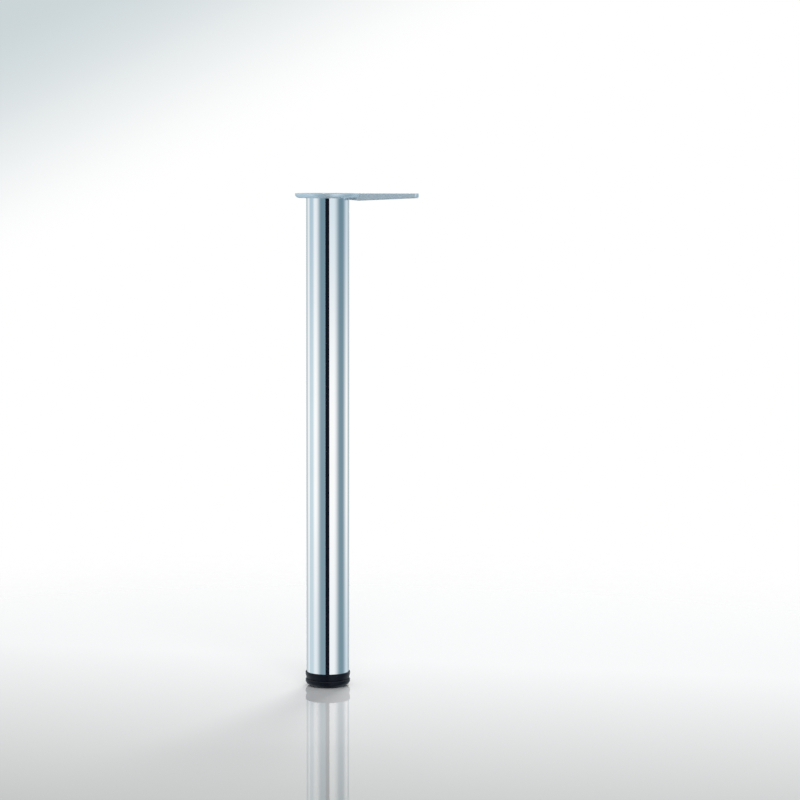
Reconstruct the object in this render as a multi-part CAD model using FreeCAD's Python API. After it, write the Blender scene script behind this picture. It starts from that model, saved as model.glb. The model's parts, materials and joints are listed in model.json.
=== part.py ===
import FreeCAD, Part
import math
import os

# Height-adjustable table leg, in millimetres.
# +Z is up and the origin is on the leg's axis, in the glide's lower face.
# The plate's arm points along +X, and the clamp screw is reached from that side too.

# Leg as a whole
leg_height = 695.0          # glide's lower face to the plate's upper face, foot screwed right in
adjust_travel = 20.0        # how far the foot screws out
running_gap = 0.3           # between pieces that turn or slide past each other
seat_gap = 0.1              # round a piece that sits in a bore or a pocket
plug_gap = 0.2              # round what is plugged into the tube at either end
rounding_steps = 3          # bevels that make up a rounded rim

# Leg tube
tube_diameter = 60.0
tube_wall = 1.5
key_hole_diameter = 5.5     # lets a hexagon key through to the clamp screw

# Mounting plate: one die casting with a disc, an arm and a spigot
disc_overhang = 15.5        # disc's rim beyond the tube
disc_thickness = 6.2
disc_edge_radius = 5.0      # rounding of the disc's lower rim
cast_wall = 2.6
rib_thickness = 2.4
arm_length = 81.5           # arm's tip beyond the disc's rim
arm_root_width = 27.0
arm_tip_width = 23.0
arm_corner_radius = 6.0
arm_edge = 1.2              # bevel of the arm's lower edges
arm_axis_depth = 5.7        # where its lower line would meet the leg's axis
arm_knee_depth = 9.9        # under the disc's rim, where the arm is deepest
arm_tip_depth = 6.1
arm_knee_inset = 2.0        # knee inside the disc's rim
arm_knee_radius = 30.0
arm_tube_gap = 0.6
spigot_length = 36.0
spigot_wall = 3.0
spigot_hub_diameter = 14.0
spigot_rib_count = 4
spigot_rib_inset = 3.0      # ribs end this far inside both ends of the spigot

# Screw holes through the plate, with room for the screw heads
screw_count = 5
screw_offset = 9.0          # screw circle's radius beyond the tube
screw_hole_diameter = 5.2
screw_head_diameter = 10.0
screw_land = 2.6            # casting left round a screw hole
arm_screw_near = 32.5       # first arm screw beyond the disc's rim
arm_screw_spacing = 34.0

# Clamp screw that holds the tube on the spigot
clamp_diameter = 8.0
clamp_length = 12.0
clamp_socket_flats = 4.0
clamp_socket_depth = 4.0
clamp_drop = 18.0           # its axis below the disc
clamp_land = 3.5            # casting left round its thread

# Collar: a moulded plug in the tube's lower end
ring_overhang = 1.5         # collar and foot stand proud of the tube
collar_height = 9.4
collar_taper = 6.1          # height of the sloping lower part
collar_waist = 1.5          # how far the slope runs in
collar_floor = 3.0
sleeve_depth = 28.0
sleeve_wall = 2.4
collar_rib_count = 6
collar_rib_thickness = 1.8
collar_rib_rise = 12.0      # ribs above the tube's lower end
hub_wall = 2.2              # round the nut's corners
hub_guide = 10.0            # hub above the nut

# Nut and spindle
spindle_diameter = 10.0
spindle_head_height = 4.5
spindle_reserve = 6.0       # thread above the nut with the foot right out
nut_flats = 17.0
nut_height = 8.0
nut_recess = 0.4

# Foot and its glide
foot_gap = 0.4              # between collar and foot when screwed right in
foot_edge_radius = 6.5
foot_neck = 1.2             # bevel round the foot's upper rim
foot_web = 2.2              # above the spindle's head
foot_rim = 2.3              # round the glide
glide_thickness = 3.0
glide_proud = 1.0           # glide below the foot
pivot_diameter = 6.0
pivot_height = 3.3

# Radii that several pieces share
tube_radius = tube_diameter / 2
bore_radius = tube_radius - tube_wall
disc_radius = tube_radius + disc_overhang
ring_radius = tube_radius + ring_overhang
spigot_radius = bore_radius - plug_gap
spigot_bore = spigot_radius - spigot_wall
sleeve_radius = bore_radius - plug_gap
sleeve_bore = sleeve_radius - sleeve_wall
screw_circle = tube_radius + screw_offset
screw_radius = screw_hole_diameter / 2
screw_head_radius = screw_head_diameter / 2
spindle_radius = spindle_diameter / 2
nut_corner_radius = nut_flats / 2 / math.cos(math.pi / 6)
hub_radius = nut_corner_radius + seat_gap + hub_wall
foot_base_radius = ring_radius - foot_edge_radius
glide_pocket_radius = foot_base_radius - foot_rim
glide_radius = glide_pocket_radius - running_gap

# Levels, from the glide's lower face up
head_bottom = glide_thickness + running_gap
head_top = head_bottom + spindle_head_height
foot_top = head_top + foot_web
collar_bottom = foot_top + foot_gap
tube_bottom = collar_bottom + collar_height
nut_bottom = collar_bottom + nut_recess
nut_top = nut_bottom + nut_height
hub_top = nut_top + hub_guide
spindle_top = nut_top + adjust_travel + spindle_reserve
disc_bottom = leg_height - disc_thickness
spigot_bottom = disc_bottom - spigot_length
clamp_level = disc_bottom - clamp_drop
beyond = 1.0                # cutters run this far past what they cut


def point(x, y, z):
    return FreeCAD.Vector(x, y, z)


def rod(radius, bottom, top, x=0.0):
    return Part.makeCylinder(radius, top - bottom, point(x, 0, bottom))


def rod_along_x(radius, start, end, level):
    return Part.makeCylinder(radius, end - start, point(start, 0, level), point(1, 0, 0))


def hexagon(flats, bottom, top):
    corner = flats / 2 / math.cos(math.pi / 6)
    angles = [math.radians(60 * i) for i in range(7)]
    wire = Part.makePolygon([point(corner * math.cos(a), corner * math.sin(a), bottom) for a in angles])
    return Part.Face(wire).extrude(point(0, 0, top - bottom))


def turned(*corners):
    """Solid turned about the leg's axis from an outline of (radius, height) corners."""
    spots = [point(r, 0, z) for r, z in corners]
    outline = Part.makePolygon(spots + spots[:1])
    return Part.Face(outline).revolve(point(0, 0, 0), point(0, 0, 1), 360)


def lower_rounding(radius, bottom, edge):
    """Corners of a rounded lower rim, from its side round to its underside."""
    corners = []
    for i in range(rounding_steps + 1):
        angle = math.pi / 2 * i / rounding_steps
        corners.append((radius - edge + edge * math.cos(angle), bottom + edge - edge * math.sin(angle)))
    return corners


def around(shape, count, first_deg=0.0):
    copies = []
    for i in range(count):
        copy = shape.copy()
        copy.rotate(point(0, 0, 0), point(0, 0, 1), first_deg + 360 * i / count)
        copies.append(copy)
    return copies


def radial_rib(inner, outer, thickness, bottom, top):
    return Part.makeBox(outer - inner, thickness, top - bottom, point(inner, -thickness / 2, bottom))


# Mounting plate

arm_tip = disc_radius + arm_length
arm_knee = disc_radius - arm_knee_inset
screw_boss_radius = screw_radius + screw_land
arm_screws = [disc_radius + arm_screw_near, disc_radius + arm_screw_near + arm_screw_spacing]


def disc_blank():
    edge = min(disc_edge_radius, disc_thickness - beyond)
    return turned((0, disc_bottom), (0, leg_height), (disc_radius, leg_height),
                  *lower_rounding(disc_radius, disc_bottom, edge))


def arm_prism(inset):
    """Tapered arm seen from above, drawn in by inset all round."""
    root = arm_root_width / 2 - inset
    tip = arm_tip_width / 2 - inset
    end = arm_tip - inset
    low = leg_height - arm_knee_depth - beyond
    corners = [(0, -root), (end, -tip), (end, tip), (0, root), (0, -root)]
    prism = Part.Face(Part.makePolygon([point(x, y, low) for x, y in corners])).extrude(
        point(0, 0, leg_height - low))
    tip_edges = [e for e in prism.Edges
                 if abs(e.CenterOfMass.x - end) < 1e-6 and abs(e.Length - (leg_height - low)) < 1e-6]
    return prism.makeFillet(arm_corner_radius - inset, tip_edges)


def arm_side(lift):
    """Arm seen from the front, with its lower line raised by lift."""
    base = leg_height + lift
    outline = [(0, leg_height), (arm_tip, leg_height), (arm_tip, base - arm_tip_depth),
               (arm_knee, base - arm_knee_depth), (0, base - arm_axis_depth), (0, leg_height)]
    half = max(arm_root_width, arm_tip_width)
    face = Part.Face(Part.makePolygon([point(x, -half, z) for x, z in outline]))
    side = face.extrude(point(0, 2 * half, 0))
    knee = [e for e in side.Edges if abs(e.CenterOfMass.x - arm_knee) < 1e-6 and e.BoundBox.XLength < 1e-6]
    return side.makeFillet(arm_knee_radius, knee)


def arm_blank():
    arm = arm_prism(0).common(arm_side(0))
    low = leg_height - beyond
    lower = [e for e in arm.Edges if e.BoundBox.ZMax < low
             and (e.BoundBox.XLength > beyond or e.BoundBox.XMin > arm_knee + beyond)]
    arm = arm.makeChamfer(arm_edge, lower)
    return arm.cut(rod(tube_radius + arm_tube_gap, leg_height - arm_knee_depth - beyond, disc_bottom))


def disc_pockets():
    """Hollows in the disc's upper face, between its ribs and screw bosses."""
    floor = disc_bottom + cast_wall
    top = leg_height + beyond
    hollow = rod(disc_radius - cast_wall, floor, top).cut(rod(tube_radius, floor, top))
    boss = rod(screw_boss_radius, floor, top, screw_circle)
    rib = radial_rib(0, disc_radius, rib_thickness, floor, top)
    kept = around(boss, screw_count) + around(rib, screw_count, 180 / screw_count)
    return hollow.cut(kept)


def arm_pocket():
    """Hollow in the arm's upper face, between cross ribs and screw bosses."""
    floor = leg_height - arm_knee_depth
    top = leg_height + beyond
    hollow = arm_prism(cast_wall).common(arm_side(cast_wall))
    kept = [rod(disc_radius, floor, top)]
    kept += [rod(screw_boss_radius, floor, top, x) for x in arm_screws]
    middle = (arm_screws[0] + arm_screws[1]) / 2
    root_rib = (disc_radius + arm_screws[0]) / 2
    for x in (root_rib, arm_screws[0], middle, arm_screws[1]):
        kept.append(Part.makeBox(rib_thickness, arm_root_width, top - floor,
                                 point(x - rib_thickness / 2, -arm_root_width / 2, floor)))
    return hollow.cut(kept)


def spigot():
    """Hollow spigot with cross ribs, and a boss for the clamp screw."""
    wall = rod(spigot_radius, spigot_bottom, disc_bottom).cut(rod(spigot_bore, spigot_bottom, disc_bottom))
    rib_bottom = spigot_bottom + spigot_rib_inset
    rib_top = leg_height - spigot_rib_inset
    inside = [rod(spigot_hub_diameter / 2, rib_bottom, rib_top)]
    rib = radial_rib(0, spigot_radius - spigot_wall / 2, rib_thickness, rib_bottom, rib_top)
    inside += around(rib, spigot_rib_count)
    boss_end = spigot_radius - clamp_length - clamp_land
    boss = rod_along_x(clamp_diameter / 2 + clamp_land, boss_end, tube_radius, clamp_level)
    inside.append(boss.common(rod(spigot_radius, spigot_bottom, disc_bottom)))
    return wall.multiFuse(inside)


def screw_hole(x):
    """Through hole with a countersink, and room below it for the screw's head."""
    seat = leg_height - disc_thickness
    sink = screw_head_radius - screw_radius
    hole = rod(screw_radius, seat - beyond, leg_height + beyond, x)
    cone = Part.makeCone(screw_head_radius, screw_radius, sink, point(x, 0, seat))
    room = rod(screw_head_radius, leg_height - arm_knee_depth - beyond, seat, x)
    return hole.multiFuse([cone, room])


def mounting_plate():
    flange = disc_blank().fuse(arm_blank()).cut(rod(spigot_bore, disc_bottom - beyond, leg_height + beyond))
    plate = flange.fuse(spigot())
    cutters = [disc_pockets(), arm_pocket()]
    cutters += around(screw_hole(screw_circle), screw_count)
    cutters += [screw_hole(x) for x in arm_screws]
    cutters.append(rod_along_x(clamp_diameter / 2 + seat_gap, 0, tube_radius, clamp_level))
    return plate.cut(cutters).removeSplitter()


def clamp_screw():
    """Hexagon socket set screw, its socket end against the tube's bore."""
    radius = clamp_diameter / 2
    end = math.sqrt(bore_radius ** 2 - radius ** 2) - seat_gap
    body = Part.makeCylinder(radius, clamp_length)
    screw = body.cut(hexagon(clamp_socket_flats, clamp_length - clamp_socket_depth, clamp_length + beyond))
    screw.rotate(point(0, 0, 0), point(0, 1, 0), 90)
    screw.translate(point(end - clamp_length, 0, clamp_level))
    return screw


# Tube

def leg_tube():
    tube = rod(tube_radius, tube_bottom, disc_bottom)
    key_hole = rod_along_x(key_hole_diameter / 2, 0, tube_radius + beyond, clamp_level)
    return tube.cut([rod(bore_radius, tube_bottom, disc_bottom), key_hole])


# Collar, nut, spindle, foot and glide

def end_collar():
    waist = ring_radius - collar_waist
    sleeve_top = tube_bottom + sleeve_depth
    passage = spindle_radius + running_gap
    cup = turned(
        (passage, collar_bottom), (waist, collar_bottom), (ring_radius, collar_bottom + collar_taper),
        (ring_radius, tube_bottom), (sleeve_radius, tube_bottom), (sleeve_radius, sleeve_top),
        (sleeve_bore, sleeve_top),
        (sleeve_bore, collar_bottom + collar_floor), (passage, collar_bottom + collar_floor))
    hub = rod(hub_radius, collar_bottom, hub_top).cut(rod(passage, collar_bottom, hub_top))
    web = radial_rib(hub_radius - hub_wall / 2, sleeve_bore + sleeve_wall / 2, collar_rib_thickness,
                     collar_bottom, tube_bottom + collar_rib_rise)
    pocket = hexagon(nut_flats + 2 * seat_gap, collar_bottom - beyond, nut_top)
    return cup.multiFuse([hub] + around(web, collar_rib_count)).cut(pocket).removeSplitter()


def hex_nut():
    nut = hexagon(nut_flats, nut_bottom, nut_top)
    return nut.cut(rod(spindle_radius + seat_gap, nut_bottom - beyond, nut_top + beyond))


def foot_spindle():
    shank = rod(spindle_radius, head_bottom, spindle_top)
    head = hexagon(nut_flats, head_bottom, head_top)
    pivot_top = glide_thickness + pivot_height
    bore = rod(pivot_diameter / 2 + seat_gap, head_bottom - beyond, pivot_top + running_gap)
    return shank.fuse(head).cut(bore).removeSplitter()


def foot():
    ring = turned((0, glide_proud), (0, foot_top), (ring_radius - foot_neck, foot_top),
                  (ring_radius, foot_top - foot_neck),
                  *lower_rounding(ring_radius, glide_proud, foot_edge_radius))
    return ring.cut([rod(glide_pocket_radius, glide_proud - beyond, head_bottom),
                     hexagon(nut_flats + 2 * seat_gap, head_bottom - beyond, head_top),
                     rod(spindle_radius + seat_gap, head_bottom, foot_top + beyond)])


def foot_glide():
    pivot = rod(pivot_diameter / 2, glide_thickness, glide_thickness + pivot_height)
    return rod(glide_radius, 0, glide_thickness).fuse(pivot)


def main():
    os.makedirs("parts", exist_ok=True)
    pieces = [mounting_plate, clamp_screw, leg_tube, end_collar, hex_nut, foot_spindle, foot, foot_glide]
    for piece in pieces:
        shape = piece()
        shape.exportStep(f"parts/{piece.__name__}.step")
        print(piece.__name__, len(shape.Solids), shape.isValid(), round(shape.Volume, 1))


main()
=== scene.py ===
import bmesh
import bpy
import json
import math
from mathutils import Matrix, Vector


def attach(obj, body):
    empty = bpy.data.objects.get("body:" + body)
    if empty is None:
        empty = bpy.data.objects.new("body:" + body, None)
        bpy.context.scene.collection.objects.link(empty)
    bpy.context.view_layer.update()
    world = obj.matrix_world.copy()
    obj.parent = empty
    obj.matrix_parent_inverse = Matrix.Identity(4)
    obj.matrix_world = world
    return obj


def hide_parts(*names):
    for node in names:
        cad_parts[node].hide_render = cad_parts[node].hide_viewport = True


# Height-adjustable table leg: chrome tube, cast plate on top, screw-out foot below.
# Outlines are written in millimetres, (radius, height) or (radius, height, rounding).
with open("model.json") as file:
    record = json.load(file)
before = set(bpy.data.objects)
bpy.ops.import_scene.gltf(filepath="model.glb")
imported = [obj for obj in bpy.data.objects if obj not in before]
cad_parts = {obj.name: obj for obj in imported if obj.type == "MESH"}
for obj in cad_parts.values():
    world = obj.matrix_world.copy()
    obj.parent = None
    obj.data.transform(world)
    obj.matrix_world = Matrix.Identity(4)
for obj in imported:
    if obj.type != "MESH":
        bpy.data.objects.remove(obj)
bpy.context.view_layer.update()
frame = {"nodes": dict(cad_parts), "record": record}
scene = bpy.context.scene
scene.view_settings.view_transform = "Standard"
mm = 0.001
arcSteps = {"fine": 4, "broad": 12, "broadFrom": 2.0}  # steps of a rounded corner, more from this radius up
weldGap = {"turned": 0.003, "joined": 0.002}  # points closer than this become one
cutRounds = 8  # most rounds of parting shared cuts
bodyOf = {n: body for body, nodes in frame["record"]["behaviour"]["bodies"].items() for n in nodes}
print("frame loaded:", ", ".join(sorted(frame["nodes"])))


# turning, threading and finishing a piece

def softOutline(corners, closed):
    spots = []
    for i, corner in enumerate(corners):
        here = Vector(corner[:2])
        atEnd = not closed and i in (0, len(corners) - 1)
        if len(corner) < 3 or atEnd:
            spots.append(here)
            continue
        back = (Vector(corners[i - 1][:2]) - here).normalized()
        on = (Vector(corners[(i + 1) % len(corners)][:2]) - here).normalized()
        half = back.angle(on) / 2
        centre = here + (back + on).normalized() * corner[2] / math.sin(half)
        first = here + back * corner[2] / math.tan(half) - centre
        last = here + on * corner[2] / math.tan(half) - centre
        turn = math.atan2(first.x * last.y - first.y * last.x, first.dot(last))
        steps = arcSteps["fine" if corner[2] < arcSteps["broadFrom"] else "broad"]
        spots += [centre + Matrix.Rotation(turn * k / steps, 2) @ first for k in range(steps + 1)]
    return spots


def spin(bm, cornersAt, steps, closed):
    rings = []
    for i in range(steps):
        angle = 2 * math.pi * i / steps
        spots = softOutline(cornersAt(angle), closed)
        rings.append([bm.verts.new((r * math.cos(angle), r * math.sin(angle), z)) for r, z in spots])
    count = len(rings[0])
    for i in range(steps):
        here, there = rings[i], rings[(i + 1) % steps]
        for k in range(count if closed else count - 1):
            n = (k + 1) % count
            bm.faces.new((here[k], there[k], there[n], here[n]))


def hexReach(flats, angle):  # from the axis to a hexagon's edge, corners at 0, 60, ...
    return flats / 2 / math.cos(angle % (math.pi / 3) - math.pi / 6)


def cutThread(bm, major, minor, pitch, bottom, top, steps):
    # right-hand metric thread, one pitch per turn, fading at both ends
    # section: root flat and crest flat, as shares of the pitch
    section = [(0, minor), (0.25, minor), (0.56, major), (0.69, major)]
    turns = math.ceil((top - bottom) / pitch) + 1
    columns = []
    for i in range(steps + 1):
        angle = 2 * math.pi * i / steps
        column = []
        for t in range(-1, turns):
            for along, r in section:
                z = bottom + (t + along + i / steps) * pitch
                fade = max(0, min(1, (z - bottom) / pitch, (top - z) / pitch))
                r = minor + (r - minor) * fade
                z = max(bottom, min(top, z))
                column.append(bm.verts.new((r * math.cos(angle), r * math.sin(angle), z)))
        columns.append(column)
    for here, there in zip(columns, columns[1:]):
        for k in range(len(here) - 1):
            bm.faces.new((here[k], there[k], there[k + 1], here[k + 1]))


def solidObject(name, bm):
    bmesh.ops.remove_doubles(bm, verts=bm.verts, dist=weldGap["turned"])
    bmesh.ops.recalc_face_normals(bm, faces=bm.faces)
    bmesh.ops.scale(bm, vec=(mm, mm, mm), verts=bm.verts)
    mesh = bpy.data.meshes.new(name)
    bm.to_mesh(mesh)
    bm.free()
    solid = bpy.data.objects.new(name, mesh)
    scene.collection.objects.link(solid)
    return solid


def makePiece(name, bm, node, material, sharpDeg=32, joins=()):
    # joins: solids to cut away or add, each with its operation
    piece = solidObject(name, bm)
    for operation, other in joins:
        joinSolid(piece, solidObject("tool", other), operation)
    finishPiece(piece, node, material, sharpDeg)


def finishPiece(piece, node, material, sharpDeg):
    mesh = piece.data
    mesh.polygons.foreach_set("use_smooth", [True] * len(mesh.polygons))
    mesh.set_sharp_from_angle(angle=math.radians(sharpDeg))
    mesh.materials.clear()
    mesh.materials.append(material)
    flats = piece.modifiers.new("flatFaces", "WEIGHTED_NORMAL")
    flats.keep_sharp = True
    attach(piece, bodyOf[node])
    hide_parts(node)
    print("made", piece.name, "with", len(mesh.polygons), "faces")


def joinSolid(piece, tool, operation):
    join = piece.modifiers.new("join", "BOOLEAN")
    join.operation, join.solver, join.object = operation, "EXACT", tool
    keepResult(piece, join)
    bpy.data.objects.remove(tool)


def keepResult(piece, modifier):
    # the modifier's result becomes the piece's own mesh, with points on the same spot made one
    bpy.context.view_layer.update()
    made = bpy.data.meshes.new_from_object(piece.evaluated_get(bpy.context.evaluated_depsgraph_get()))
    piece.modifiers.remove(modifier)
    made.name = piece.name
    piece.data = made
    bm = bmesh.new()
    bm.from_mesh(made)
    bmesh.ops.remove_doubles(bm, verts=bm.verts, dist=weldGap["joined"] * mm)
    bm.to_mesh(made)
    bm.free()
    for attempt in range(cutRounds):
        if not partCuts(made):
            break


def partCuts(mesh):
    # where two faces would be cut into triangles along the same line, one is split the other way
    mesh.calc_loop_triangles()
    uses = {}
    for tri in mesh.loop_triangles:
        a, b, c = tri.vertices
        for start, end, tip in ((a, b, c), (b, c, a), (c, a, b)):
            uses.setdefault((min(start, end), max(start, end)), []).append((tri.polygon_index, tip))
    shared = [use for use in uses.values() if len(use) > 2]
    bm = bmesh.new()
    bm.from_mesh(mesh)
    faces, verts = bm.faces[:], bm.verts[:]
    split = set()
    for use in shared:
        for index in {i for i, tip in use}:
            tips = [tip for i, tip in use if i == index]
            if len(tips) == 2 and index not in split:
                bmesh.utils.face_split(faces[index], verts[tips[0]], verts[tips[1]])
                split.add(index)
                break
    bm.to_mesh(mesh)
    bm.free()
    return len(shared)


# shader parts that several finishes share

def addNode(tree, kind, at, links=None, **settings):
    node = tree.nodes.new(kind)
    node.location = at
    for key, value in settings.items():
        if hasattr(node, key):
            setattr(node, key, value)
        else:
            node.inputs[key.replace("_", " ")].default_value = value
    for socket, source in (links or {}).items():
        tree.links.new(source, node.inputs[socket])
    return node


def newGroup(name, inputs, outputs):
    group = bpy.data.node_groups.new(name, "ShaderNodeTree")
    for label, kind, value in inputs:
        socket = group.interface.new_socket(label, in_out="INPUT", socket_type=kind)
        socket.default_value = value
    for label, kind in outputs:
        group.interface.new_socket(label, in_out="OUTPUT", socket_type=kind)
    into = addNode(group, "NodeGroupInput", (-900, 0))
    out = addNode(group, "NodeGroupOutput", (600, 0))
    return group, into.outputs, out.inputs


def makeGrain():
    # fine texture of a surface, stretched where a tool or a polishing belt ran along it
    group, given, out = newGroup(
        "surfaceGrain",
        [("Scale", "NodeSocketFloat", 900.0), ("Stretch", "NodeSocketVector", (1, 1, 1)),
         ("Detail", "NodeSocketFloat", 4.0)],
        [("Value", "NodeSocketFloat"), ("Height", "NodeSocketFloat")])
    place = addNode(group, "ShaderNodeTexCoord", (-900, 300))
    drawn = addNode(group, "ShaderNodeVectorMath", (-650, 150), operation="MULTIPLY",
                    links={0: place.outputs["Object"], 1: given["Stretch"]})
    fine = addNode(group, "ShaderNodeTexNoise", (-400, 150), Roughness=0.6,
                   links={"Vector": drawn.outputs[0], "Scale": given["Scale"], "Detail": given["Detail"]})
    clear = addNode(group, "ShaderNodeMapRange", (-100, 200), interpolation_type="SMOOTHSTEP",
                    From_Min=0.3, From_Max=0.7, links={"Value": fine.outputs["Fac"]})
    group.links.new(clear.outputs["Result"], out["Value"])
    group.links.new(fine.outputs["Fac"], out["Height"])
    return group


def makeHandling():
    # soft cloudy patches left by cloths and hands
    group, given, out = newGroup(
        "handlingMarks", [("Scale", "NodeSocketFloat", 14.0), ("Cover", "NodeSocketFloat", 0.5)],
        [("Mask", "NodeSocketFloat")])
    place = addNode(group, "ShaderNodeTexCoord", (-900, 300))
    cloud = addNode(group, "ShaderNodeTexNoise", (-600, 150), Detail=3.0, Roughness=0.55, Distortion=0.6,
                    links={"Vector": place.outputs["Object"], "Scale": given["Scale"]})
    start = addNode(group, "ShaderNodeMath", (-600, -150), operation="SUBTRACT", links={1: given["Cover"]})
    start.inputs[0].default_value = 1.0
    soft = addNode(group, "ShaderNodeMapRange", (-250, 100), interpolation_type="SMOOTHSTEP", From_Max=0.85,
                   links={"Value": cloud.outputs["Fac"], "From Min": start.outputs[0]})
    group.links.new(soft.outputs["Result"], out["Mask"])
    return group


def makeEdgeWear():
    # bright worn line along outer edges, broken up by noise
    group, given, out = newGroup(
        "edgeWear", [("Reach", "NodeSocketFloat", 0.56), ("Breakup", "NodeSocketFloat", 220.0)],
        [("Mask", "NodeSocketFloat")])
    shape = addNode(group, "ShaderNodeNewGeometry", (-900, 300))
    place = addNode(group, "ShaderNodeTexCoord", (-900, -200))
    edge = addNode(group, "ShaderNodeMapRange", (-500, 250), interpolation_type="SMOOTHSTEP", From_Min=0.51,
                   links={"Value": shape.outputs["Pointiness"], "From Max": given["Reach"]})
    rubbed = addNode(group, "ShaderNodeTexNoise", (-600, -100), Detail=5.0,
                     links={"Vector": place.outputs["Object"], "Scale": given["Breakup"]})
    patchy = addNode(group, "ShaderNodeMapRange", (-300, -50), From_Min=0.42, From_Max=0.62,
                     links={"Value": rubbed.outputs["Fac"]})
    both = addNode(group, "ShaderNodeMath", (100, 100), operation="MULTIPLY",
                   links={0: edge.outputs["Result"], 1: patchy.outputs["Result"]})
    group.links.new(both.outputs[0], out["Mask"])
    return group


def makeDust():
    # thin dust on what faces up
    group, given, out = newGroup(
        "settledDust", [("Scale", "NodeSocketFloat", 160.0), ("Amount", "NodeSocketFloat", 0.3)],
        [("Mask", "NodeSocketFloat")])
    shape = addNode(group, "ShaderNodeNewGeometry", (-900, 300))
    place = addNode(group, "ShaderNodeTexCoord", (-900, -200))
    parts = addNode(group, "ShaderNodeSeparateXYZ", (-700, 300), links={0: shape.outputs["Normal"]})
    upward = addNode(group, "ShaderNodeMapRange", (-450, 250), interpolation_type="SMOOTHSTEP",
                     From_Min=0.35, From_Max=0.95, links={"Value": parts.outputs["Z"]})
    speck = addNode(group, "ShaderNodeTexNoise", (-600, -100), Detail=6.0, Roughness=0.7,
                    links={"Vector": place.outputs["Object"], "Scale": given["Scale"]})
    laid = addNode(group, "ShaderNodeMath", (-200, 150), operation="MULTIPLY",
                   links={0: upward.outputs["Result"], 1: speck.outputs["Fac"]})
    thin = addNode(group, "ShaderNodeMath", (50, 100), operation="MULTIPLY",
                   links={0: laid.outputs[0], 1: given["Amount"]})
    group.links.new(thin.outputs[0], out["Mask"])
    return group


grainGroup, handlingGroup, wearGroup, dustGroup = makeGrain(), makeHandling(), makeEdgeWear(), makeDust()
print("shader groups ready")


def startMaterial(name):
    material = bpy.data.materials.new(name)
    material.use_nodes = True
    tree = material.node_tree
    tree.nodes.clear()
    shader = addNode(tree, "ShaderNodeBsdfPrincipled", (500, 0))
    out = addNode(tree, "ShaderNodeOutputMaterial", (800, 0))
    tree.links.new(shader.outputs[0], out.inputs["Surface"])
    return material, tree, shader


def useGroup(tree, group, at, **values):
    node = addNode(tree, "ShaderNodeGroup", at, node_tree=group)
    for key, value in values.items():
        node.inputs[key].default_value = value
    return node.outputs


def mixColour(tree, at, mask, below, above):
    # colours may be plain or the output of another node
    mix = addNode(tree, "ShaderNodeMix", at, data_type="RGBA")
    tree.links.new(mask, mix.inputs["Factor"])
    for socket, colour in ((mix.inputs[6], below), (mix.inputs[7], above)):
        if isinstance(colour, bpy.types.NodeSocket):
            tree.links.new(colour, socket)
        else:
            socket.default_value = (*colour, 1)
    return mix.outputs[2]


def spread(tree, at, value, low, high):
    node = addNode(tree, "ShaderNodeMapRange", at, To_Min=low, To_Max=high, links={"Value": value})
    return node.outputs["Result"]


def bumpFrom(tree, at, height, strength, distance):
    node = addNode(tree, "ShaderNodeBump", at, Strength=strength, Distance=distance, links={"Height": height})
    return node.outputs["Normal"]


# finishes

# bump = strength and depth in metres
chrome = {"bright": (0.955, 0.965, 0.97), "hazed": (0.92, 0.935, 0.945), "smoothest": 0.015,
          "roughest": 0.035, "bump": (0.02, 0.00001)}


def chromeFinish():
    material, tree, shader = startMaterial("polishedChrome")
    lines = useGroup(tree, grainGroup, (-500, -100), Scale=520.0, Stretch=(1, 1, 0.02), Detail=3.0)
    marks = useGroup(tree, handlingGroup, (-500, 200), Scale=11.0, Cover=0.52)
    colour = mixColour(tree, (0, 250), marks["Mask"], chrome["bright"], chrome["hazed"])
    tree.links.new(colour, shader.inputs["Base Color"])
    tree.links.new(spread(tree, (0, 0), marks["Mask"], chrome["smoothest"], chrome["roughest"]),
                   shader.inputs["Roughness"])
    tree.links.new(bumpFrom(tree, (100, -300), lines["Height"], *chrome["bump"]), shader.inputs["Normal"])
    shader.inputs["Metallic"].default_value = 1.0
    return material


lacquer = {"silver": (0.65, 0.785, 0.875), "flake": (0.67, 0.80, 0.89), "worn": (0.70, 0.815, 0.89),
           "dust": (0.62, 0.68, 0.72), "smoothest": 0.38, "roughest": 0.43, "metal": 0.66, "dustyMetal": 0.1,
           "coat": 0.25, "coatRoughness": 0.25, "bump": (0.03, 0.00003)}


def lacquerFinish():
    material, tree, shader = startMaterial("silverLacquer")
    flake = useGroup(tree, grainGroup, (-700, 300), Scale=2600.0, Detail=1.0)
    skin = useGroup(tree, grainGroup, (-700, -200), Scale=420.0, Detail=5.0)
    worn = useGroup(tree, wearGroup, (-700, 550), Reach=0.6, Breakup=260.0)
    dust = useGroup(tree, dustGroup, (-700, 50), Scale=140.0, Amount=0.35)
    colour = mixColour(tree, (-350, 350), flake["Value"], lacquer["silver"], lacquer["flake"])
    colour = mixColour(tree, (-100, 350), worn["Mask"], colour, lacquer["worn"])
    colour = mixColour(tree, (150, 350), dust["Mask"], colour, lacquer["dust"])
    tree.links.new(colour, shader.inputs["Base Color"])
    tree.links.new(spread(tree, (100, 50), skin["Value"], lacquer["smoothest"], lacquer["roughest"]),
                   shader.inputs["Roughness"])
    tree.links.new(spread(tree, (100, -80), dust["Mask"], lacquer["metal"], lacquer["dustyMetal"]),
                   shader.inputs["Metallic"])
    tree.links.new(bumpFrom(tree, (100, -300), skin["Height"], *lacquer["bump"]), shader.inputs["Normal"])
    shader.inputs["Coat Weight"].default_value = lacquer["coat"]
    shader.inputs["Coat Roughness"].default_value = lacquer["coatRoughness"]
    return material


moulding = {"black": (0.006, 0.007, 0.012), "grey": (0.009, 0.010, 0.016), "rubbed": (0.016, 0.018, 0.024),
            "dust": (0.07, 0.07, 0.075), "smoothest": 0.26, "roughest": 0.36, "gloss": 0.15,
            "glossTint": (0.72, 0.82, 1.0), "bump": (0.15, 0.0001)}


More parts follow.
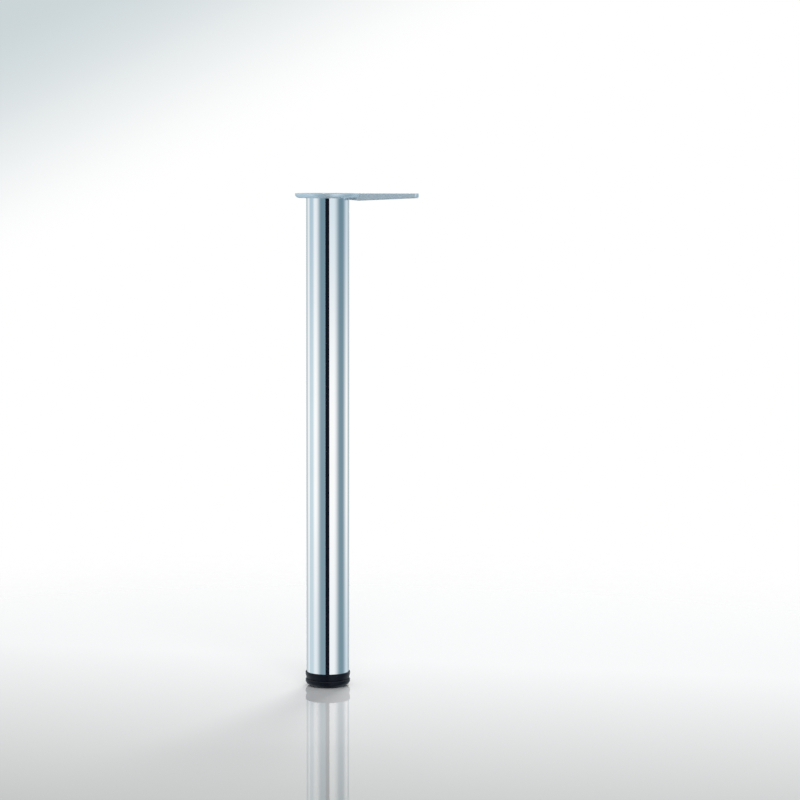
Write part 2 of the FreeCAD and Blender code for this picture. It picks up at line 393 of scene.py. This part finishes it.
def mouldingFinish():
    material, tree, shader = startMaterial("blackMoulding")
    spark = useGroup(tree, grainGroup, (-700, -200), Scale=1500.0, Detail=3.0)
    marks = useGroup(tree, handlingGroup, (-700, 100), Scale=45.0, Cover=0.5)
    worn = useGroup(tree, wearGroup, (-700, 350), Reach=0.62, Breakup=320.0)
    dust = useGroup(tree, dustGroup, (-700, 600), Scale=300.0, Amount=0.22)
    colour = mixColour(tree, (-350, 350), marks["Mask"], moulding["black"], moulding["grey"])
    colour = mixColour(tree, (-100, 350), worn["Mask"], colour, moulding["rubbed"])
    colour = mixColour(tree, (150, 350), dust["Mask"], colour, moulding["dust"])
    tree.links.new(colour, shader.inputs["Base Color"])
    tree.links.new(spread(tree, (100, 50), spark["Value"], moulding["smoothest"], moulding["roughest"]),
                   shader.inputs["Roughness"])
    tree.links.new(bumpFrom(tree, (100, -300), spark["Height"], *moulding["bump"]), shader.inputs["Normal"])
    shader.inputs["Specular IOR Level"].default_value = moulding["gloss"]
    shader.inputs["Specular Tint"].default_value = (*moulding["glossTint"], 1)
    return material


glidePlastic = {"dark": (0.008, 0.009, 0.013), "pale": (0.018, 0.019, 0.024), "smoothest": 0.42,
                "roughest": 0.6, "gloss": 0.2, "bump": (0.2, 0.0001)}


def glideFinish():
    material, tree, shader = startMaterial("greyGlidePlastic")
    scuffs = useGroup(tree, grainGroup, (-700, -200), Scale=240.0, Stretch=(1, 6, 1), Detail=5.0)
    marks = useGroup(tree, handlingGroup, (-700, 150), Scale=60.0, Cover=0.55)
    colour = mixColour(tree, (-200, 250), marks["Mask"], glidePlastic["dark"], glidePlastic["pale"])
    tree.links.new(colour, shader.inputs["Base Color"])
    rough = spread(tree, (100, 50), scuffs["Value"], glidePlastic["smoothest"], glidePlastic["roughest"])
    tree.links.new(rough, shader.inputs["Roughness"])
    tree.links.new(bumpFrom(tree, (100, -300), scuffs["Height"], *glidePlastic["bump"]),
                   shader.inputs["Normal"])
    shader.inputs["Specular IOR Level"].default_value = glidePlastic["gloss"]
    return material


zinc = {"bright": (0.66, 0.675, 0.69), "dull": (0.50, 0.51, 0.52), "rubbed": (0.80, 0.81, 0.82),
        "smoothest": 0.22, "roughest": 0.4, "bump": (0.1, 0.00005)}


def zincFinish():
    material, tree, shader = startMaterial("brightZinc")
    turned = useGroup(tree, grainGroup, (-700, -200), Scale=700.0, Stretch=(0.3, 0.3, 4), Detail=4.0)
    marks = useGroup(tree, handlingGroup, (-700, 150), Scale=70.0, Cover=0.55)
    worn = useGroup(tree, wearGroup, (-700, 400), Reach=0.66, Breakup=400.0)
    colour = mixColour(tree, (-350, 250), marks["Mask"], zinc["bright"], zinc["dull"])
    colour = mixColour(tree, (-100, 250), worn["Mask"], colour, zinc["rubbed"])
    tree.links.new(colour, shader.inputs["Base Color"])
    tree.links.new(spread(tree, (100, 50), turned["Value"], zinc["smoothest"], zinc["roughest"]),
                   shader.inputs["Roughness"])
    tree.links.new(bumpFrom(tree, (100, -300), turned["Height"], *zinc["bump"]), shader.inputs["Normal"])
    shader.inputs["Metallic"].default_value = 1.0
    return material


oxide = {"black": (0.055, 0.056, 0.060), "brown": (0.095, 0.088, 0.082), "smoothest": 0.36, "roughest": 0.52,
         "bump": (0.1, 0.00005)}


def oxideFinish():
    material, tree, shader = startMaterial("blackOxide")
    skin = useGroup(tree, grainGroup, (-700, -200), Scale=900.0, Detail=4.0)
    marks = useGroup(tree, handlingGroup, (-700, 150), Scale=90.0, Cover=0.5)
    colour = mixColour(tree, (-200, 250), marks["Mask"], oxide["black"], oxide["brown"])
    tree.links.new(colour, shader.inputs["Base Color"])
    tree.links.new(spread(tree, (100, 50), skin["Value"], oxide["smoothest"], oxide["roughest"]),
                   shader.inputs["Roughness"])
    tree.links.new(bumpFrom(tree, (100, -300), skin["Height"], *oxide["bump"]), shader.inputs["Normal"])
    shader.inputs["Metallic"].default_value = 1.0
    return material


finishes = {"tube_chrome": chromeFinish(), "plate_silver": lacquerFinish(), "black_plastic": mouldingFinish(),
            "glide_plastic": glideFinish(), "zinc_steel": zincFinish(), "dark_steel": oxideFinish()}
print("finishes ready:", ", ".join(m.name for m in finishes.values()))


# chrome tube, with the key hole for the clamp screw

tubeShape = {"radius": 30.0, "bore": 28.5, "bottom": 19.8, "top": 688.8, "edge": 0.45, "innerEdge": 0.3,
             "endBand": 2.0, "holeRadius": 2.75, "holeLevel": 670.8, "holeEdge": 0.3, "holeBand": 6.0,
             "drillOut": 2.0, "drillIn": 4.0, "holeSteps": 48, "steps": 240}


def makeTube():
    t = tubeShape
    low, high = t["holeLevel"] - t["holeBand"], t["holeLevel"] + t["holeBand"]
    outline = [(t["bore"], t["bottom"], t["innerEdge"]), (t["radius"], t["bottom"], t["edge"]),
               (t["radius"], t["bottom"] + t["endBand"]), (t["radius"], low), (t["radius"], high),
               (t["radius"], t["top"] - t["endBand"]), (t["radius"], t["top"], t["edge"]),
               (t["bore"], t["top"], t["innerEdge"]), (t["bore"], high), (t["bore"], low)]
    bm = bmesh.new()
    spin(bm, lambda angle: outline, t["steps"], True)
    # drill: a straight hole with a broken edge, turned about the leg's axis and laid along X
    drill = bmesh.new()
    start, rim, reach = t["bore"] - t["drillIn"], t["radius"] - t["holeEdge"], t["radius"] + t["drillOut"]
    wide = t["holeRadius"] + reach - rim
    hole = [(0, start), (t["holeRadius"], start), (t["holeRadius"], rim), (wide, reach), (0, reach)]
    spin(drill, lambda angle: hole, t["holeSteps"], False)
    bmesh.ops.rotate(drill, verts=drill.verts, matrix=Matrix.Rotation(math.pi / 2, 3, "Y"))
    bmesh.ops.translate(drill, verts=drill.verts, vec=(0, 0, t["holeLevel"]))
    makePiece("legTube", bm, "leg_tube", finishes["tube_chrome"], joins=[("DIFFERENCE", drill)])


makeTube()


# cast mounting plate: the solid's own surface with a true rounded rim and softened edges

# rimRows = rows set out on the rounding, rimSlack = room beside it, rimMove = furthest that a point moves out
plateShape = {"rimRadius": 45.5, "rimRounding": 5.0, "discBottom": 688.8, "rimRows": 9,
              "rimSlack": (0.2, 0.1), "rimMove": 0.25, "weld": 0.01, "flatDeg": 0.5, "edgeDeg": 40,
              "soften": 0.35, "softenSteps": 3}


def makePlate():
    p = plateShape
    bm = bmesh.new()
    bm.from_mesh(frame["nodes"]["mounting_plate"].data)
    bmesh.ops.remove_doubles(bm, verts=bm.verts, dist=p["weld"] * mm)
    # the solid's rim has three bevels: each is cut twice more and its rows are set out on the rounding
    centreRadius, centreLevel = p["rimRadius"] - p["rimRounding"], p["discBottom"] + p["rimRounding"]
    for k in range(1, p["rimRows"]):
        level = centreLevel - p["rimRounding"] * math.sin(math.pi / 2 * k / p["rimRows"])
        bmesh.ops.bisect_plane(bm, geom=bm.verts[:] + bm.edges[:] + bm.faces[:], dist=p["weld"] * mm,
                               plane_co=(0, 0, level * mm), plane_no=(0, 0, 1))
    nearest, furthest = centreRadius + p["rimSlack"][0], p["rimRadius"] + p["rimSlack"][1]
    for v in bm.verts:
        across = math.hypot(v.co.x, v.co.y) / mm
        drop = centreLevel - v.co.z / mm
        if not nearest <= across <= furthest or not 0 < drop < p["rimRounding"]:
            continue
        rounded = centreRadius + math.sqrt(p["rimRounding"] ** 2 - drop ** 2)
        if 0 < rounded - across < p["rimMove"]:
            v.co.x *= rounded / across
            v.co.y *= rounded / across
    bmesh.ops.dissolve_limit(bm, angle_limit=math.radians(p["flatDeg"]), verts=bm.verts, edges=bm.edges)
    mesh = bpy.data.meshes.new("mountingPlate")
    bm.to_mesh(mesh)
    bm.free()
    plate = bpy.data.objects.new("mountingPlate", mesh)
    scene.collection.objects.link(plate)
    soft = plate.modifiers.new("softEdges", "BEVEL")
    soft.width, soft.segments = p["soften"] * mm, p["softenSteps"]
    soft.limit_method, soft.angle_limit = "ANGLE", math.radians(p["edgeDeg"])
    soft.use_clamp_overlap = False
    keepResult(plate, soft)
    finishPiece(plate, "mounting_plate", finishes["plate_silver"], 180)  # its soft edges leave none sharp


makePlate()


# clamp screw: hexagon socket set screw with its thread

screwShape = {"major": 4.0, "minor": 3.36, "pitch": 1.25, "length": 12.0, "inner": 16.118, "level": 670.8,
              "lead": 0.6, "point": 0.5, "rim": 0.4, "socketFlats": 4.0, "socketDepth": 4.0,
              "socketBevel": (0.15, 0.2), "socketCone": 0.8, "steps": 72}


def screwHeadSection(angle):
    s = screwShape
    end = s["length"]
    socket = hexReach(s["socketFlats"], angle)
    wider, deeper = s["socketBevel"]
    return [(s["minor"], end - s["lead"]), (s["minor"] - s["rim"], end), (socket + wider, end),
            (socket, end - deeper), (socket, end - s["socketDepth"]),
            (0, end - s["socketDepth"] - s["socketCone"])]


def makeClampScrew():
    s = screwShape
    tip = [(0, 0), (s["minor"] - s["point"], 0), (s["minor"], s["lead"])]
    bm = bmesh.new()
    spin(bm, lambda angle: tip, s["steps"], False)
    cutThread(bm, s["major"], s["minor"], s["pitch"], s["lead"], s["length"] - s["lead"], s["steps"])
    spin(bm, screwHeadSection, s["steps"], False)
    bmesh.ops.rotate(bm, verts=bm.verts, matrix=Matrix.Rotation(math.pi / 2, 3, "Y"))
    bmesh.ops.translate(bm, verts=bm.verts, vec=(s["inner"], 0, s["level"]))
    makePiece("clampScrew", bm, "clamp_screw", finishes["dark_steel"])


makeClampScrew()


# collar: moulded plug in the tube's lower end, with a hexagon pocket for the nut

collarShape = {"bottom": 10.4, "top": 19.8, "radius": 31.5, "waist": 30.0, "taperTop": 16.5, "floor": 13.4,
               "sleeve": 28.3, "sleeveBore": 25.9, "sleeveTop": 47.8, "hub": 12.1, "hubTop": 28.8,
               "passage": 5.3, "pocketFlats": 17.2, "pocketTop": 18.8, "pocketLead": 0.2, "edge": 0.5,
               "shoulder": 1.6, "innerEdge": 0.4, "fillet": 0.8, "ribs": 6, "ribThick": 1.8, "ribTop": 31.8,
               "ribSink": 0.8, "ribFoot": 1.0, "steps": 192}


def collarSection(angle):
    c = collarShape
    pocket = hexReach(c["pocketFlats"], angle)
    edge, innerEdge, fillet = c["edge"], c["innerEdge"], c["fillet"]
    return [(pocket + c["pocketLead"], c["bottom"]), (c["waist"], c["bottom"], edge),
            (c["radius"], c["taperTop"], c["shoulder"]), (c["radius"], c["top"], edge),
            (c["sleeve"], c["top"]), (c["sleeve"], c["sleeveTop"], innerEdge),
            (c["sleeveBore"], c["sleeveTop"], innerEdge),
            (c["sleeveBore"], c["floor"], fillet), (c["hub"], c["floor"], fillet),
            (c["hub"], c["hubTop"], innerEdge), (c["passage"], c["hubTop"], innerEdge),
            (c["passage"], c["pocketTop"]), (pocket, c["pocketTop"]), (pocket, c["bottom"] + c["pocketLead"])]


def makeCollar():
    c = collarShape
    bm = bmesh.new()
    spin(bm, collarSection, c["steps"], True)
    # webs from hub to sleeve, sunk a little into both and into the floor
    ribs = bmesh.new()
    inner, outer = c["hub"] - c["ribSink"], (c["sleeve"] + c["sleeveBore"]) / 2
    low, high = c["floor"] - c["ribFoot"], c["ribTop"]
    for i in range(c["ribs"]):
        box = bmesh.ops.create_cube(ribs, size=1)["verts"]
        bmesh.ops.scale(ribs, verts=box, vec=(outer - inner, c["ribThick"], high - low))
        bmesh.ops.translate(ribs, verts=box, vec=((inner + outer) / 2, 0, (low + high) / 2))
        bmesh.ops.rotate(ribs, verts=box, matrix=Matrix.Rotation(2 * math.pi * i / c["ribs"], 3, "Z"))
    makePiece("endCollar", bm, "end_collar", finishes["black_plastic"], joins=[("UNION", ribs)])


makeCollar()


# nut: pressed into the collar, corners bevelled both ends

nutShape = {"flats": 17.0, "bottom": 10.8, "top": 18.8, "bore": 5.1, "lead": 0.8, "face": 8.1, "slopeDeg": 30,
            "sharpDeg": 20, "steps": 96}


def nutSection(angle):
    n = nutShape
    reach = hexReach(n["flats"], angle)
    slope = (reach - n["face"]) * math.tan(math.radians(n["slopeDeg"]))
    return [(n["bore"], n["bottom"] + n["lead"]), (n["bore"] + n["lead"], n["bottom"]),
            (n["face"], n["bottom"]), (reach, n["bottom"] + slope), (reach, n["top"] - slope),
            (n["face"], n["top"]), (n["bore"] + n["lead"], n["top"]), (n["bore"], n["top"] - n["lead"])]


def makeNut():
    bm = bmesh.new()
    spin(bm, nutSection, nutShape["steps"], True)
    makePiece("hexNut", bm, "hex_nut", finishes["zinc_steel"], nutShape["sharpDeg"])


makeNut()


# spindle: hexagon head moulded into the foot, with the adjusting thread

spindleShape = {"major": 5.0, "minor": 4.08, "pitch": 1.5, "headFlats": 17.0, "headFace": 8.1, "slopeDeg": 30,
                "headBottom": 3.3, "headTop": 7.8, "neckFillet": 0.5, "neckTop": 9.0, "top": 44.8,
                "lead": 1.0, "point": 0.7, "pivotBore": 3.1, "pivotTop": 6.6, "pivotLead": 0.3,
                "sharpDeg": 24, "steps": 96}


def spindleHeadSection(angle):
    s = spindleShape
    reach = hexReach(s["headFlats"], angle)
    slope = (reach - s["headFace"]) * math.tan(math.radians(s["slopeDeg"]))
    return [(0, s["pivotTop"]), (s["pivotBore"], s["pivotTop"]),
            (s["pivotBore"], s["headBottom"] + s["pivotLead"]),
            (s["pivotBore"] + s["pivotLead"], s["headBottom"]),
            (s["headFace"], s["headBottom"]), (reach, s["headBottom"] + slope), (reach, s["headTop"] - slope),
            (s["headFace"], s["headTop"]), (s["minor"] + s["neckFillet"], s["headTop"]),
            (s["minor"], s["headTop"] + s["neckFillet"]), (s["minor"], s["neckTop"])]


def makeSpindle():
    s = spindleShape
    threadTop = s["top"] - s["lead"]
    tip = [(s["minor"], threadTop), (s["minor"] - s["point"], s["top"]), (0, s["top"])]
    bm = bmesh.new()
    spin(bm, spindleHeadSection, s["steps"], False)
    cutThread(bm, s["major"], s["minor"], s["pitch"], s["neckTop"], threadTop, s["steps"])
    spin(bm, lambda angle: tip, s["steps"], False)
    makePiece("footSpindle", bm, "foot_spindle", finishes["zinc_steel"], s["sharpDeg"])


makeSpindle()


# foot: moulded ring with a rolled-under rim, turned by hand to set the height

footShape = {"bottom": 1.0, "top": 10.0, "radius": 31.5, "neck": 1.2, "rounding": 6.5, "pocket": 22.7,
             "pocketTop": 3.3, "headFlats": 17.2, "headTop": 7.8, "bore": 5.1, "edge": 0.4, "topEdge": 0.5,
             "steps": 192}


def footSection(angle):
    f = footShape
    head, edge, shoulder = hexReach(f["headFlats"], angle), f["edge"], f["radius"] - f["neck"]
    return [(f["bore"], f["headTop"]), (f["bore"], f["top"], edge), (shoulder, f["top"], f["topEdge"]),
            (f["radius"], f["top"] - f["neck"], edge), (f["radius"], f["bottom"], f["rounding"]),
            (f["pocket"], f["bottom"], edge), (f["pocket"], f["pocketTop"]), (head, f["pocketTop"]),
            (head, f["headTop"])]


def makeFoot():
    bm = bmesh.new()
    spin(bm, footSection, footShape["steps"], True)
    makePiece("adjustingFoot", bm, "foot", finishes["black_plastic"])


makeFoot()


# glide: the pad under the foot that stays still on the floor while the foot turns

glideShape = {"radius": 22.4, "thick": 3.0, "edge": 0.7, "upperEdge": 0.3, "pivot": 3.0, "pivotTop": 6.3,
              "pivotEdge": 0.4, "steps": 144}


def makeGlide():
    g = glideShape
    outline = [(0, 0), (g["radius"], 0, g["edge"]), (g["radius"], g["thick"], g["upperEdge"]),
               (g["pivot"], g["thick"], g["upperEdge"]), (g["pivot"], g["pivotTop"], g["pivotEdge"]),
               (0, g["pivotTop"])]
    bm = bmesh.new()
    spin(bm, lambda angle: outline, g["steps"], False)
    makePiece("footGlide", bm, "foot_glide", finishes["glide_plastic"])


makeGlide()
print("pieces ready")


# studio: pale floor, plain background, soft lamps, and cards that only the chrome shows

def stageObject(name, bm, material):
    mesh = bpy.data.meshes.new(name)
    bm.to_mesh(mesh)
    bm.free()
    thing = bpy.data.objects.new(name, mesh)
    scene.collection.objects.link(thing)
    mesh.materials.append(material)
    return thing


# metres: away = the way in which its painted shade gets paler, over paleFrom; it fades out over fade, round
# its middle
floorBoard = {"paintedShadeNear": (0.37, 0.378, 0.375), "far": (0.80, 0.805, 0.81), "away": (0.22, 1, 0),
              "paleFrom": (-0.8, 0.2), "middle": (0, -0.3, 0), "reach": 1.7, "fade": (0.7, 1.6),
              "drop": 0.0002, "index": 1.4, "sides": 96}


def makeFloor():
    # glossy white board with painted shade, darker towards the camera and a little to the left, fading into
    # the background, see-through from below
    f = floorBoard
    material, tree, shader = startMaterial("paleFloor")
    out = next(n for n in tree.nodes if n.type == "OUTPUT_MATERIAL")
    place = addNode(tree, "ShaderNodeTexCoord", (-900, 100))
    far = addNode(tree, "ShaderNodeVectorMath", (-650, 300), operation="DISTANCE",
                  links={0: place.outputs["Object"]})
    far.inputs[1].default_value = f["middle"]
    fade = addNode(tree, "ShaderNodeMapRange", (-400, 300), interpolation_type="SMOOTHSTEP",
                   From_Min=f["fade"][0], From_Max=f["fade"][1], links={"Value": far.outputs["Value"]})
    away = addNode(tree, "ShaderNodeVectorMath", (-650, 50), operation="DOT_PRODUCT",
                   links={0: place.outputs["Object"]})
    away.inputs[1].default_value = f["away"]
    pale = addNode(tree, "ShaderNodeMapRange", (-400, 50), From_Min=f["paleFrom"][0],
                   From_Max=f["paleFrom"][1], links={"Value": away.outputs["Value"]})
    # painted shade: the board's colour darkens from the far colour to the near one towards the camera and the
    # left
    colour = mixColour(tree, (0, 50), pale.outputs["Result"], f["paintedShadeNear"], f["far"])
    tree.links.new(colour, shader.inputs["Base Color"])
    shader.inputs["Roughness"].default_value = 0.0  # a sharp mirror, which the cards can tell from the leg
    shader.inputs["IOR"].default_value = f["index"]
    side = addNode(tree, "ShaderNodeNewGeometry", (-400, 500))
    openPart = addNode(tree, "ShaderNodeMath", (-150, 400), operation="MAXIMUM",
                       links={0: fade.outputs["Result"], 1: side.outputs["Backfacing"]})
    clear = addNode(tree, "ShaderNodeBsdfTransparent", (500, -400))
    mix = addNode(tree, "ShaderNodeMixShader", (650, 100),
                  links={0: openPart.outputs[0], 1: shader.outputs[0], 2: clear.outputs[0]})
    tree.links.new(mix.outputs[0], out.inputs["Surface"])
    bm = bmesh.new()
    bmesh.ops.create_circle(bm, cap_ends=True, segments=f["sides"], radius=f["reach"])
    bmesh.ops.translate(bm, verts=bm.verts, vec=Vector(f["middle"]) - Vector((0, 0, f["drop"])))
    floor = stageObject("floor", bm, material)
    floor.visible_glossy = False
    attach(floor, "glide")


# the paper is shaded towards one corner, gloss mirrors grey straight below, and the fill is weaker from below
surroundings = {"paper": (1.0, 1.0, 1.0), "shade": (0.60, 0.67, 0.69), "corner": (-0.455, 0, 0.89),
                "shadeFrom": (0.03, 0.115), "under": (0.25, 0.28, 0.31), "underFrom": (-0.5, -0.8),
                "fillBelow": (0.26, 0.27, 0.28), "fillAbove": (0.60, 0.61, 0.62), "fillFrom": (-0.4, 0.1)}


def easeOver(tree, at, value, ends):
    node = addNode(tree, "ShaderNodeMapRange", at, interpolation_type="SMOOTHSTEP", From_Min=ends[0],
                   From_Max=ends[1], links={"Value": value})
    return node.outputs["Result"]


def makeWorld():
    s = surroundings
    world = bpy.data.worlds.new("studioWorld")
    scene.world = world
    world.use_nodes = True
    tree = world.node_tree
    tree.nodes.clear()
    seen = addNode(tree, "ShaderNodeBackground", (300, 200))
    light = addNode(tree, "ShaderNodeBackground", (300, -100))
    path = addNode(tree, "ShaderNodeLightPath", (-300, 500))
    either = addNode(tree, "ShaderNodeMath", (0, 500), operation="MAXIMUM",
                     links={0: path.outputs["Is Camera Ray"], 1: path.outputs["Is Glossy Ray"]})
    shown = addNode(tree, "ShaderNodeMath", (150, 500), operation="MAXIMUM",
                    links={0: either.outputs[0], 1: path.outputs["Is Transmission Ray"]})
    place = addNode(tree, "ShaderNodeTexCoord", (-900, 100))
    toCorner = addNode(tree, "ShaderNodeVectorMath", (-650, 100), operation="DOT_PRODUCT",
                       links={0: place.outputs["Generated"]})
    toCorner.inputs[1].default_value = s["corner"]
    shade = easeOver(tree, (-400, 100), toCorner.outputs["Value"], s["shadeFrom"])
    direct = addNode(tree, "ShaderNodeMath", (-200, 100), operation="MULTIPLY",
                     links={0: shade, 1: path.outputs["Is Camera Ray"]})
    paper = mixColour(tree, (0, 150), direct.outputs[0], s["paper"], s["shade"])
    parts = addNode(tree, "ShaderNodeSeparateXYZ", (-650, -200), links={0: place.outputs["Generated"]})
    down = easeOver(tree, (-400, -500), parts.outputs["Z"], s["underFrom"])
    under = addNode(tree, "ShaderNodeMath", (-200, -500), operation="SUBTRACT", use_clamp=True,
                    links={0: down, 1: path.outputs["Is Camera Ray"]})
    around = mixColour(tree, (150, 150), under.outputs[0], paper, s["under"])
    tree.links.new(around, seen.inputs["Color"])
    upper = easeOver(tree, (-400, -200), parts.outputs["Z"], s["fillFrom"])
    fill = mixColour(tree, (0, -200), upper, s["fillBelow"], s["fillAbove"])
    tree.links.new(fill, light.inputs["Color"])
    mix = addNode(tree, "ShaderNodeMixShader", (550, 100),
                  links={0: shown.outputs[0], 1: light.outputs[0], 2: seen.outputs[0]})
    addNode(tree, "ShaderNodeOutputWorld", (800, 100), links={"Surface": mix.outputs[0]})


lamps = [
    {"name": "keyLamp", "at": (0.36, 1.4, 2.6), "target": (0, 0, 0.2), "size": 0.7, "power": 34.0,
     "colour": (1.0, 0.99, 0.97)},
    {"name": "frontLamp", "at": (0.6, -3.0, 2.6), "target": (0, 0, 0.5), "size": 2.6, "power": 56.0,
     "colour": (0.97, 0.99, 1.0)},
]


def makeLamp(name, at, target, size, power, colour):
    lamp = bpy.data.lights.new(name, "AREA")
    lamp.shape, lamp.size, lamp.energy, lamp.color = "DISK", size, power, colour
    thing = bpy.data.objects.new(name, lamp)
    scene.collection.objects.link(thing)
    thing.location = at
    thing.rotation_euler = (Vector(target) - Vector(at)).to_track_quat("-Z", "Y").to_euler()
    thing.visible_glossy = False


# span = angles round the leg in degrees, 0 towards the camera and + to its right
# soft = faded width of each end; dims = light lost towards the foot and towards the plate
white = (1.0, 1.0, 1.0)
cards = [
    {"name": "middleFlag", "span": (-11.3, 10.3), "colour": (0.006, 0.009, 0.016)},
    {"name": "greyCard", "span": (-66, -11.3), "colour": (0.22, 0.33, 0.39), "soft": (34, 0.1),
     "dims": (0, 0.17)},
    {"name": "rightFlag", "span": (33, 126), "colour": (0.19, 0.29, 0.35), "soft": (40, 40),
     "dims": (0, 0.12)},
    {"name": "sideCard", "span": (-117, -72), "colour": (0.60, 0.71, 0.77), "soft": (6, 18),
     "dims": (0.05, 0.17)},
    {"name": "backCardLeft", "span": (-169, -120), "colour": (0.50, 0.58, 0.62), "soft": (0.1, 28)},
    {"name": "backCardRight", "span": (126, 169), "colour": (0.46, 0.54, 0.58), "soft": (24, 0.1)},
    {"name": "backFlag", "span": (169, 191), "colour": (0.012, 0.017, 0.023)},
    {"name": "paperLeft", "span": (-180, -2), "colour": white, "dims": (0.17, 0.13)},
    {"name": "paperMiddle", "span": (-2, 80), "colour": white, "dims": (0.09, 0.21)},
    {"name": "paperRight", "span": (80, 180), "colour": white, "dims": (0.28, 0.28)},
]
# metres: each card stands a gap behind the one before, from level to level
# footward, plateward, skyward = stretches where it dims and is plain again; tint = red is lost before blue
cardRoom = {"distance": 30.0, "gap": 0.05, "levels": (-60.0, 60.0), "footward": (-3.5, -6.3),
            "plateward": (-2.8, 0.4), "skyward": (0.4, 1.8), "tint": (1.4, 1.0, 0.7), "crisp": (0.1, 0.1),
            "bend": 15, "bendSides": 4}


def dimmed(colour, loss):
    return tuple(c * (1 - loss * t) for c, t in zip(colour, cardRoom["tint"]))


def cardMaterial(card):
    material = bpy.data.materials.new(card["name"])
    material.use_nodes = True
    material.cycles.emission_sampling = "NONE"  # seen by gloss only, so less grain elsewhere
    tree = material.node_tree
    tree.nodes.clear()
    place = addNode(tree, "ShaderNodeTexCoord", (-900, 0))
    parts = addNode(tree, "ShaderNodeSeparateXYZ", (-700, 0), links={0: place.outputs["UV"]})
    width = card["span"][1] - card["span"][0]
    first, last = card.get("soft", cardRoom["crisp"])
    start = easeOver(tree, (-300, 100), parts.outputs["X"], (0.0, first / width))
    end = easeOver(tree, (-300, -200), parts.outputs["X"], (1.0, 1 - last / width))
    edge = addNode(tree, "ShaderNodeMath", (-100, 0), operation="MULTIPLY", links={0: start, 1: end})
    # the floor mirrors sharply, the leg doesn't: the floor itself shows plain paper in place of the cards
    path = addNode(tree, "ShaderNodeLightPath", (-700, 400))
    cover = addNode(tree, "ShaderNodeMath", (50, 200), operation="SUBTRACT", use_clamp=True,
                    links={0: edge.outputs[0], 1: path.outputs["Is Singular Ray"]})
    height = addNode(tree, "ShaderNodeSeparateXYZ", (-700, -400), links={0: place.outputs["Object"]})
    colour = card["colour"]
    footLoss, plateLoss = card.get("dims", (0, 0))
    for stretch, loss in (("footward", footLoss), ("plateward", plateLoss), ("skyward", 0)):
        dim = easeOver(tree, (-450, -500), height.outputs["Z"], cardRoom[stretch])
        colour = mixColour(tree, (-100, -500), dim, colour, dimmed(card["colour"], loss))
    clear = addNode(tree, "ShaderNodeBsdfTransparent", (100, 0))
    glow = addNode(tree, "ShaderNodeEmission", (100, -150), links={"Color": colour})
    mix = addNode(tree, "ShaderNodeMixShader", (350, 0),
                  links={0: cover.outputs[0], 1: clear.outputs[0], 2: glow.outputs[0]})
    addNode(tree, "ShaderNodeOutputMaterial", (600, 0), links={"Surface": mix.outputs[0]})
    return material


def makeCard(card, place):
    bm = bmesh.new()
    uv = bm.loops.layers.uv.new("across")
    distance = cardRoom["distance"] + cardRoom["gap"] * place
    width = card["span"][1] - card["span"][0]
    steps = math.ceil(width / cardRoom["bend"]) * cardRoom["bendSides"]
    columns = []
    for i in range(steps + 1):
        a = math.radians(card["span"][0] + width * i / steps)
        x, y = distance * math.sin(a), -distance * math.cos(a)
        columns.append([bm.verts.new((x, y, z)) for z in cardRoom["levels"]])
    for i in range(steps):
        here, there = columns[i], columns[i + 1]
        face = bm.faces.new((here[0], there[0], there[1], here[1]))
        for loop, share, level in zip(face.loops, (i, i + 1, i + 1, i), (0, 0, 1, 1)):
            loop[uv].uv = (share / steps, level)
    thing = stageObject(card["name"], bm, cardMaterial(card))
    thing.visible_camera = thing.visible_diffuse = thing.visible_shadow = thing.visible_transmission = False


makeFloor()
makeWorld()
for place, card in enumerate(cards):
    makeCard(card, place)
for lamp in lamps:
    makeLamp(**lamp)
print("studio ready")


# camera at the photograph's angle

viewpoint = {"at": (0.1015, -3.66, 0.75), "down": 5.372, "roll": 0.13, "lens": 117.76, "sensor": 36.0}


def makeCamera():
    lens = bpy.data.cameras.new("viewpoint")
    lens.lens, lens.sensor_width = viewpoint["lens"], viewpoint["sensor"]
    camera = bpy.data.objects.new("viewpoint", lens)
    scene.collection.objects.link(camera)
    camera.location = viewpoint["at"]
    tilt = Matrix.Rotation(math.radians(90 - viewpoint["down"]), 4, "X")
    lean = Matrix.Rotation(math.radians(viewpoint["roll"]), 4, "Z")
    camera.rotation_euler = (tilt @ lean).to_euler()
    scene.camera = camera


makeCamera()
